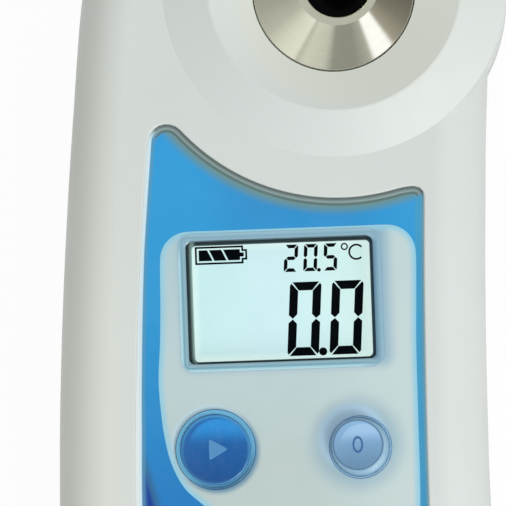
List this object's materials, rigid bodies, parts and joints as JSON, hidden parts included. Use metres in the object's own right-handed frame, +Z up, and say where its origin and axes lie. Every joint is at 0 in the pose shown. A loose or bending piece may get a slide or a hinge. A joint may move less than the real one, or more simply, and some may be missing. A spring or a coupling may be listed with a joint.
{
  "type": "digital refractometer",
  "caption": "Pocket digital refractometer with an open steel sample well, a display, two press buttons and a battery cover released by a coin screw.",
  "frame": {"origin": "under the middle of the body, on the plane that the instrument's back lies on", "axes": "+Z up out of the front face, +Y from the grip to the head with the sample well, +X to the right when looking at the front"},
  "size_m": [0.0551, 0.109, 0.031],
  "materials": {
    "shell_plastic": "satin, light grey",
    "back_plastic": "fine moulded texture, light grey",
    "label_blue": "printed behind a clear face, gloss",
    "clear_plastic": "clear, gloss",
    "lcd_glass": "pale reflective display",
    "optical_glass": "polished, dark",
    "lens_glass": "polished, clear",
    "start_blue": "gloss",
    "zero_blue": "gloss",
    "trim_blue": "gloss",
    "black_plastic": "satin black",
    "stage_steel": "turned and polished",
    "screw_steel": "plated",
    "spring_metal": "bright nickel plate",
    "brass": "turned",
    "rubber": "matte",
    "circuit_board": "solder mask, semi gloss",
    "cable_film": "flat film",
    "battery_wrap": "plain wrap, semi gloss"
  },
  "bodies": {
    "housing": {"front_housing": "shell_plastic", "rear_housing": "back_plastic", "housing_seal": "rubber", "housing_screw_1": "screw_steel", "housing_screw_2": "screw_steel", "housing_screw_3": "screw_steel", "housing_screw_4": "screw_steel", "sample_stage": "stage_steel", "stage_seal": "rubber", "stage_nut": "brass", "prism": "optical_glass", "prism_seal": "rubber", "optical_chassis": "black_plastic", "light_source": "clear_plastic", "condenser_lens": "lens_glass", "slit_plate": "black_plastic", "collector_lens": "lens_glass", "image_sensor": "black_plastic", "sensor_board": "circuit_board", "sensor_cable": "cable_film", "temperature_sensor": "black_plastic", "chassis_screw_1": "screw_steel", "chassis_screw_2": "screw_steel", "chassis_screw_3": "screw_steel", "label_panel": "label_blue", "display_window": "clear_plastic", "window_frame": "black_plastic", "lcd_glass": "lcd_glass", "lcd_reflector": "spring_metal", "lcd_holder": "black_plastic", "lcd_connector": "rubber", "start_button_ring": "trim_blue", "start_switch": "black_plastic", "zero_button_ring": "trim_blue", "zero_switch": "black_plastic", "keypad_mat": "rubber", "main_board": "circuit_board", "processor_chip": "black_plastic", "board_screw_1": "screw_steel", "board_screw_2": "screw_steel", "board_screw_3": "screw_steel", "board_screw_4": "screw_steel", "battery_1": "battery_wrap", "battery_2": "battery_wrap", "contact_bridge": "spring_metal", "battery_terminal_1": "spring_metal", "battery_terminal_2": "spring_metal", "battery_spring_1": "spring_metal", "battery_spring_2": "spring_metal", "thread_insert": "brass"},
    "start_button": {"start_button": "start_blue"},
    "zero_button": {"zero_button": "zero_blue"},
    "battery_cover": {"battery_cover": "back_plastic", "battery_cover_seal": "rubber"},
    "coin_screw": {"coin_screw": "screw_steel", "coin_screw_clip": "spring_metal"}
  },
  "joints": [
    {"name": "start_button_press", "type": "slide", "parent": "housing", "child": "start_button", "axis": [0, 0, -1], "range_m": [0, 0.0007], "stiffness_N_per_m": 400, "springref_m": -0.0004},
    {"name": "zero_button_press", "type": "slide", "parent": "housing", "child": "zero_button", "axis": [0, 0, -1], "range_m": [0, 0.0007], "stiffness_N_per_m": 400, "springref_m": -0.0004},
    {"name": "battery_cover_lift", "type": "slide", "parent": "housing", "child": "battery_cover", "axis": [0, 0, -1], "range_m": [0, 0.012]},
    {"name": "coin_screw_turn", "type": "hinge", "parent": "battery_cover", "child": "coin_screw", "pos_m": [-0.0021, 0.007, 0], "axis": [0, 0, -1], "range_deg": [0, 1080]}
  ]
}
